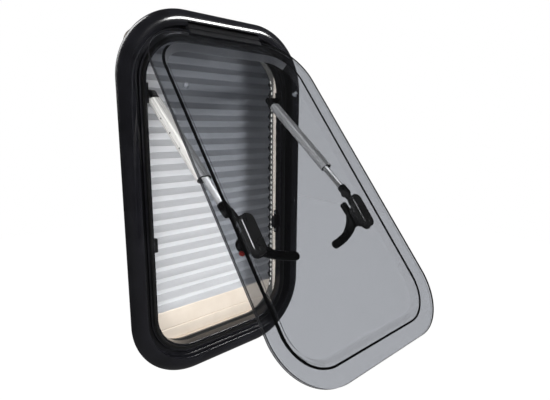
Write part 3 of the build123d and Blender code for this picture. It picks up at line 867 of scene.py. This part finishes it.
# %% Keepers
keeper_block_length = 22 * MM
keeper_shift = 2 * MM
catch_thickness = 2.5 * MM
screw_spacing = 16.5 * MM
screw_radius = 2.4 * MM
screw_dome = soften(
    (0, 0, 0),
    (0, 0.5 * MM, 0.5 * MM),
    (0.9 * MM, 1.3 * MM, 0.8 * MM),
    (screw_radius - 0.2 * MM, 1.4 * MM, 0),
)
for name, side in SIDES.items():
    low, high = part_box(f"{name}_keeper")
    middle = (low + high) / 2
    reveal = high.x if side > 0 else low.x
    seat = (reveal, middle.y + keeper_shift, middle.z)
    keeper_place = plane(seat, (0, 0, 1), (0, 1, 0), (-side, 0, 0))
    keeper_depth = high.y - low.y
    plate_outline = rounded_rectangle(high.z - low.z, keeper_depth, 2.5 * MM, 6)
    block_outline = rounded_rectangle(keeper_block_length, keeper_depth, 1.5 * MM, 6)
    catch = moulding(f"{name}_catch", plate_outline, plate(catch_thickness, 0.6 * MM), keeper_place)
    block = moulding("block", block_outline, plate(high.x - low.x, 1.4 * MM), keeper_place)
    combine(catch, [block], "UNION")
    fit(catch, latch_black, "latch_black", f"{name}_keeper")
    for end, way in (("low", -1), ("high", 1)):
        spot = keeper_place @ Matrix.Translation((way * screw_spacing, 0, catch_thickness))
        screw = moulding(f"{name}_keeper_screw_{end}", strip([(0, 0)], screw_radius), screw_dome, spot)
        fit(screw, screw_steel, "stay_aluminium")
print("keeper depth:", round(keeper_depth, 4), "m")

# %% [markdown]
# ## Stays
# A stay is a rod that slides in a tube. The tube is an anodised extrusion with a flat oval section, which
# most likely leaves room for a catch beside the rod. It has a black end with an eye for the bracket's pin
# and three holes in its outer side. A bush in its lower end guides the rod. Tube and bush carry their
# section round the same oval, and the holes are drilled by a boolean cut, so they have real depth. The walls
# of the holes and the tube's bore are painted dark grey as shade.

# %% Stay tubes and bushes
stay_top_depth = 16 * MM
stay_top_drop = 95 * MM
tube_radius = 7.1 * MM
tube_bore = 5.6 * MM
tube_spread = 5.5 * MM
tube_start = 17 * MM
bore_start = 26 * MM
tube_end = 178.6 * MM
rod_bore = 4.8 * MM
bush_length = 8.5 * MM
bush_proud = 0.4 * MM
eye_radius = 5.5 * MM
eye_bore = 2.7 * MM
hole_radius = 1.3 * MM
pin_drill = [(0, -1 * MM), (0, 8 * MM)]
hole_drill = [(0, -1 * MM), (0, 3 * MM)]
hole_spots = (60 * MM, 91 * MM, 122 * MM)
hole_turn = math.radians(16)
tube_section = soften(
    (tube_radius - 1 * MM, tube_start, 0),
    (0, tube_start, 1.2 * MM),
    (0, tube_end, 0.4 * MM),
    (tube_radius - tube_bore, tube_end, 0.2 * MM),
    (tube_radius - tube_bore, bore_start, 0.2 * MM),
    (tube_radius - 1 * MM, bore_start, 0),
)
bush_radius = tube_bore - play / 3
bush_section = soften(
    (0, tube_end - bush_length, 0.1 * MM),
    (0, tube_end + bush_proud, 0.2 * MM),
    (bush_radius - rod_bore, tube_end + bush_proud, 0.2 * MM),
    (bush_radius - rod_bore, tube_end - bush_length, 0.1 * MM),
    closed=True,
)
for name, side in SIDES.items():
    top = Vector((side * stay_side, stay_top_depth, hinge_axis.z - stay_top_drop))
    foot = sash @ Vector((side * stay_side, stay_foot_along, stay_foot_height))
    stay_axis = (foot - top).normalized()
    aside = stay_axis.cross((1, 0, 0))
    turning = plane(top, (1, 0, 0), aside, stay_axis)
    outward = Vector((side, 0, 0))
    tube_path = [(0, 0), (side * tube_spread, 0)]
    tube = moulding(f"{name}_tube", strip(tube_path, tube_radius, 24), tube_section, turning)
    eye_place = plane(top - Vector((eye_half, 0, 0)), stay_axis, aside, (1, 0, 0))
    eye_outline = strip([(0, 0), (tube_start + 2 * MM, 0)], eye_radius, 16)
    eye = moulding("eye", eye_outline, plate(2 * eye_half, 0.6 * MM), eye_place)
    combine(tube, [eye], "UNION")
    drills = [moulding("pin_drill", strip([(0, 0)], eye_bore), pin_drill, eye_place)]
    drilled = outward * math.cos(hole_turn) + aside * math.sin(hole_turn)
    hole_floor = top + outward * tube_spread + drilled * tube_bore
    drill_place = plane(hole_floor, stay_axis, drilled.cross(stay_axis), drilled)
    for spot in hole_spots:
        hole = strip([(spot, 0)], hole_radius)
        drills.append(moulding("drill", hole, hole_drill, drill_place))
    combine(tube, drills, "DIFFERENCE")
    fit(tube, stay_aluminium, "stay_aluminium", f"{name}_stay_tube")
    tube.data.materials.append(ferrule_grey)
    tube.data.materials.append(latch_black)
    for face in tube.data.polygons:
        along = (face.center - top).dot(stay_axis)
        beside = min(max((face.center - top).dot(outward), 0), tube_spread)
        depth_in = tube_radius - (face.center - top - stay_axis * along - outward * beside).length
        # Faces in the bore and on the walls of the holes are painted dark grey as shade.
        in_bore = along > tube_start + 4 * MM and depth_in > 0.3 * MM
        face.material_index = 1 if in_bore else 2 if along < tube_start + 0.1 * MM else 0
    bush = moulding(f"{name}_bush", strip(tube_path, bush_radius, 24), bush_section, turning, closed=True)
    fit(bush, ferrule_grey, "ferrule_grey", f"{name}_stay_ferrule")
print("tube:", len(tube.data.polygons), "faces")

# %% [markdown]
# ## Pleated blind
# The blind is one cloth, folded into a zigzag and pulled up by its bar. A cloth simulation would only sag
# it, and the real one is held flat by its cords, so the folds are placed by a formula: soft fold lines, a
# little unevenness from pleat to pleat, and panels that bow slightly.

# %% Pleated cloth sheet
cloth_low, cloth_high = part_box("pleated_blind")
fold_count = 44
fold_rise = (cloth_high.z - cloth_low.z) / fold_count
fold_front = cloth_low.y + 0.6 * MM
fold_reach = cloth_high.y - cloth_low.y - 1.2 * MM
edge_tuck = 4 * MM
cloth_width = cloth_high.x - cloth_low.x + 2 * edge_tuck
columns = 60
panel_steps = 6


def cloth_point(column, row):
    """A point of the cloth: sharp ridges, softer creases, and a little sway across the width."""
    x = cloth_low.x - edge_tuck + cloth_width * column / columns
    position = row / panel_steps
    pleat = position % 2
    zigzag = pleat if pleat < 1 else 2 - pleat
    depth = zigzag - 0.10 * math.sin(math.pi * zigzag) * zigzag
    number = int(position / 2)
    sway = math.sin(9 * x + 1.7 * number) + 0.6 * math.sin(31 * x + 2.3 * number)
    y = fold_front + fold_reach * (0.03 + 0.94 * depth) + 0.12 * MM * sway
    z = cloth_low.z + fold_rise * position + 0.25 * MM * sway * math.sin(math.pi * zigzag)
    return x, y, z


cloth_rows = fold_count * panel_steps
cloth_shape = bmesh.new()
grid = []
for row in range(cloth_rows + 1):
    grid.append([cloth_shape.verts.new(cloth_point(column, row)) for column in range(columns + 1)])
for low, high in zip(grid, grid[1:]):
    for column in range(columns):
        cloth_shape.faces.new((low[column], low[column + 1], high[column + 1], high[column]))
cloth_mesh = bpy.data.meshes.new("pleated_cloth")
cloth_shape.to_mesh(cloth_mesh)
cloth_shape.free()
pleated_cloth = new_piece("pleated_cloth", cloth_mesh)
thickness = pleated_cloth.modifiers.new("thickness", "SOLIDIFY")
thickness.thickness = 0.3 * MM
settle(pleated_cloth)
fit(pleated_cloth, blind_silver, "blind_silver", "pleated_blind")

# %% [markdown]
# ## Pieces that keep their solid
# Rods, brackets, guides, cassettes and bars already have their real form in the imported model and only need
# their finish. Ring and guides get more than one: the clamp ring's lower front, where it meets the sill, is
# painted black as shade, its inner edges and the lips that hold the cloth's edge are painted with a row of
# light spots, one to a fold, for the light that shows between the folds, and the walls of the guides' slots
# are painted dark as shade. Face by face, place and direction tell which finish is due.

# %% Finishes of the carried-over pieces
CARRIED = {"hinge_rail": rail_black, "hinge_leaf": hinge_black, "clamp_frame": ring_cream_painted_shade}
for name in ("top_cassette", "bottom_cassette", "screen_bar", "blind_bar"):
    CARRIED[name] = case_cream
for name in SIDES:
    CARRIED[f"{name}_blind_guide"] = case_cream
    CARRIED[f"{name}_stay_rod"] = rod_aluminium
    CARRIED[f"{name}_stay_fork"] = latch_black
    CARRIED[f"{name}_stay_bracket"] = latch_black
for name, material in CARRIED.items():
    mesh = solids[name].data
    mesh.materials.clear()
    mesh.materials.append(material)

sill_level = 45 * MM
opening_half = 135 * MM
clamp_ring = solids["clamp_frame"].data
clamp_ring.materials.append(seal_rubber)
clamp_ring.materials.append(painted_light_spots)
# The ring's lower front below the sill level is painted black as shade, and the inner edges of its side runs
# get the painted light spots.
for face in clamp_ring.polygons:
    faces_middle = face.normal.x * face.center.x < 0 and abs(face.normal.x) > 0.9
    if face.normal.y < -0.9 and face.center.z < sill_level:
        face.material_index = 1
    elif faces_middle and abs(face.center.x) < opening_half:
        face.material_index = 2
for name in SIDES:
    guide = solids[f"{name}_blind_guide"].data
    guide.materials.append(painted_light_spots)
    guide.materials.append(seal_rubber)
    low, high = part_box(f"{name}_blind_guide")
    # Front faces get the painted light spots, and the walls of the slot are painted dark as shade.
    for face in guide.polygons:
        at_front = face.center.y < low.y + 0.1 * MM
        at_rear = face.center.y > high.y - 0.1 * MM
        at_side = face.normal.x * face.center.x > 0 and abs(face.normal.x) > 0.9
        face.material_index = 1 if at_front else 0 if at_rear or at_side else 2
print("carried over:", len(CARRIED), "nodes")

# %% [markdown]
# ## Camera
# The camera stands at the left of the open pane, a little above the middle, close enough that the near jamb
# looks larger than the far one. Its place and its focal length give the photograph's perspective.

# %% Camera
image_width = 550
focal_pixels = 400.1
camera_place = Vector((-0.3740, -0.5529, 0.3907))
camera_right = Vector((0.75075, -0.66056, 0.00647))
camera_down = Vector((-0.11634, -0.14186, -0.98303))
camera_data = bpy.data.cameras.new("camera")
camera_data.lens = focal_pixels * camera_data.sensor_width / image_width
camera = bpy.data.objects.new("camera", camera_data)
camera.matrix_world = plane(camera_place, camera_right, -camera_down)
scene.collection.objects.link(camera)
scene.camera = camera
scene.view_settings.view_transform = "Standard"
print("lens:", round(camera_data.lens, 2), "mm")

# %% [markdown]
# ## Studio
# Black gloss shows what it mirrors. So the world is white to the camera and dim to glossy rays, and lamps
# draw the light lines. A picture of a studio could do so too, but its lights couldn't be moved one by one.

# %% World
def studio_world(below, above, mirrored):
    """World that is white to the camera, dim to glossy rays, and shades from below to above for the rest."""
    world = bpy.data.worlds.new("studio")
    scene.world = world
    world.use_nodes = True
    tree = world.node_tree
    tree.nodes.clear()
    height = node(tree, "SeparateXYZ", {"Vector": node(tree, "TexCoord").outputs["Generated"]})
    rise = {"Value": height.outputs["Z"], "From Min": -0.6, "From Max": 0.8, "To Min": below, "To Max": above}
    level = node(tree, "MapRange", rise).outputs["Result"]
    matt, glossy, backdrop = (
        node(tree, "Background", {"Color": (1, 1, 1, 1), "Strength": strength}).outputs[0]
        for strength in (level, mirrored, 1.0)
    )
    path = node(tree, "LightPath")
    rays = {"Is Glossy Ray": glossy, "Is Transmission Ray": backdrop, "Is Camera Ray": backdrop}
    result = matt
    for ray, ground in rays.items():
        result = node(tree, "MixShader", {"Fac": path.outputs[ray], 1: result, 2: ground}).outputs[0]
    node(tree, "OutputWorld", {"Surface": result})


studio_world(below=0.24, above=0.20, mirrored=0.06)
print("world:", scene.world.name)

# %% [markdown]
# The key stands low at the right, so the right jamb shades the blind. A broad fill comes from low at the
# left, which gives each fold a light and a dark half. A photographer masks a lamp so that it reaches one
# part only, and light linking does the same: two strips draw the light lines of the frame's top rail and
# near corner, and smaller lamps lift the latches, stays, guides and bars. The lamp that grazes the near
# jamb from the left skips the clear sheets.

# %% Lamps
def soft_box(name, towards, distance, size, watts, skipped=(), only=(), beam=180, drop=0.0):
    """Rectangular lamp in a direction from the window, which skips some pieces or lights only some."""
    lamp = bpy.data.lights.new(name, "AREA")
    lamp.shape = "RECTANGLE"
    lamp.size, lamp.size_y = size
    lamp.energy = watts
    lamp.spread = math.radians(beam)
    holder = bpy.data.objects.new(name, lamp)
    holder.location = Vector((0, 0, frame_middle - drop)) + Vector(towards).normalized() * distance
    holder.rotation_euler = (-Vector(towards)).to_track_quat("-Z", "Y").to_euler()
    scene.collection.objects.link(holder)
    group = bpy.data.collections.new(f"{name}_pieces")
    for piece in only or skipped:
        group.objects.link(piece)
    holder.light_linking.receiver_collection = group
    for entry in group.collection_objects:
        entry.light_linking.link_state = "INCLUDE" if only else "EXCLUDE"
    if only:
        holder.light_linking.blocker_collection = group
    holder.visible_camera = False
    return holder


clear_sheets = (outer_sheet, inner_sheet)
housings = [bpy.data.objects[f"{name}_latch_housing"] for name in SIDES]
tubes = [bpy.data.objects[f"{name}_{part}"] for name in SIDES for part in ("tube", "bush")]
rods = [solids[f"{name}_stay_rod"] for name in SIDES]
guides = [solids[part] for part in ("right_blind_guide", "clamp_frame")]
bars = [solids[part] for part in ("blind_bar", "screen_bar", "bottom_cassette")]
plugs = [bpy.data.objects[f"{name}_air_plug"] for name in SIDES]
shaded = [solids["top_cassette"]]
unlit = [*bars, *shaded]
key = soft_box("key", (0.78, -0.57, -0.16), 1.8, (0.35, 0.35), 1.9, unlit, beam=36, drop=0.17)
left_fill = soft_box("left_fill", (-0.55, -0.80, -0.24), 2.0, (1.2, 1.0), 2.0, shaded, beam=54, drop=0.10)
for lamp in (key, left_fill):
    lamp.visible_glossy = False
soft_box("rail_strip", (0.47, -0.64, 0.67), 1.3, (0.6, 0.20), 24, only=[frame_moulding])
soft_box("corner_strip", (-0.72, -0.08, 0.69), 1.6, (0.12, 2.4), 18, only=[frame_moulding])
soft_box("latch_light", (-0.79, -0.34, 0.50), 1.5, (0.25, 0.5), 36, only=housings)
soft_box("stay_line", (-0.08, -0.08, 0.99), 1.5, (0.9, 1.1), 7, only=tubes)
soft_box("stay_front", (-0.85, -0.45, 0.25), 1.5, (1.6, 1.6), 15, only=[*tubes, *plugs])
soft_box("rod_line", (0.10, -0.14, 0.98), 1.5, (1.1, 1.1), 22, only=rods)
soft_box("rod_light", (-0.60, -0.70, 0.40), 1.5, (2.0, 2.0), 60, only=rods[:1])
soft_box("guide_light", (-0.72, -0.68, 0.12), 2.0, (0.4, 1.0), 120, only=guides)
soft_box("bar_light", (-0.15, -0.83, 0.53), 1.8, (0.8, 0.5), 37, only=bars)
soft_box("edge_light", (-0.95, 0.10, 0.10), 2.0, (0.2, 0.9), 6, skipped=clear_sheets)
print("lamps:", [lamp.name for lamp in bpy.data.lights])

# %% [markdown]
# ## Floor
# The window belongs in a wall, so it hangs in the air. The floor is a plain plane far below the window. It
# is pale grey to the light, and a glow that only camera rays see brings it up to the white of the
# background.

# %% Floor
floor_level = -1.2
half_floor = 6
floor_mesh = bpy.data.meshes.new("floor")
corners = [(-1, -1), (1, -1), (1, 1), (-1, 1)]
floor_points = [(x * half_floor, y * half_floor, floor_level) for x, y in corners]
floor_mesh.from_pydata(floor_points, [], [(0, 1, 2, 3)])
floor = bpy.data.objects.new("floor", floor_mesh)
scene.collection.objects.link(floor)
floor_values = {"Base Color": (0.6, 0.6, 0.6, 1), "Roughness": 0.9, "Emission Color": (1, 1, 1, 1)}
floor_paint, floor_tree, floor_shader = new_finish("pale_floor", floor_values)
camera_rays = node(floor_tree, "LightPath").outputs["Is Camera Ray"]
glow = node(floor_tree, "Math", {0: camera_rays, 1: 0.9}, operation="MULTIPLY")
floor_tree.links.new(glow.outputs[0], floor_shader.inputs["Emission Strength"])
floor_mesh.materials.append(floor_paint)
print("floor at", floor_level, "m")
